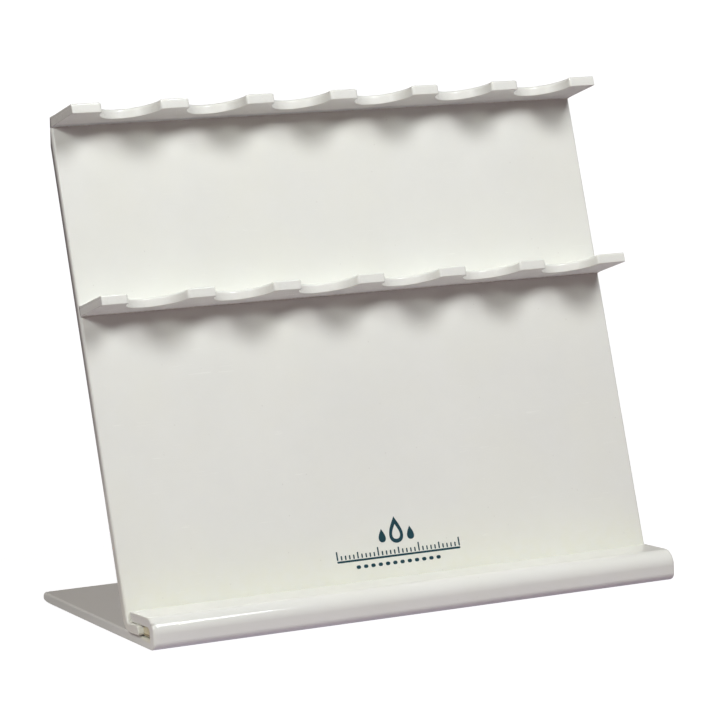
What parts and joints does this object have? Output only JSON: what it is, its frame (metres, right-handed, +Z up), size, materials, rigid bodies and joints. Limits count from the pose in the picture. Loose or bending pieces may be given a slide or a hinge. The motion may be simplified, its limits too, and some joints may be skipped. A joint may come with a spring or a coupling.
{
  "type": "pipette stand",
  "caption": "White acrylic pipette stand: a leaning back panel held in the folded lip of a flat base, with half-round notched shelves that hold pipettes upright.",
  "frame": {"origin": "centre of the base's footprint, on the table", "axes": "+X along the width, +Y towards the back, +Z up"},
  "size_m": [0.3, 0.132, 0.2576],
  "materials": {
    "acrylic": "opaque white sheet, glossy, with flame-polished edges",
    "cement": "hardened solvent cement, yellowed with age",
    "ink": "dark teal screen-printed ink"
  },
  "bodies": {
    "root": {"base_plate": "acrylic", "back_panel": "acrylic", "top_shelf": "acrylic", "middle_shelf": "acrylic", "lip_cement": "cement", "top_shelf_cement": "cement", "middle_shelf_cement": "cement"}
  },
  "joints": []
}
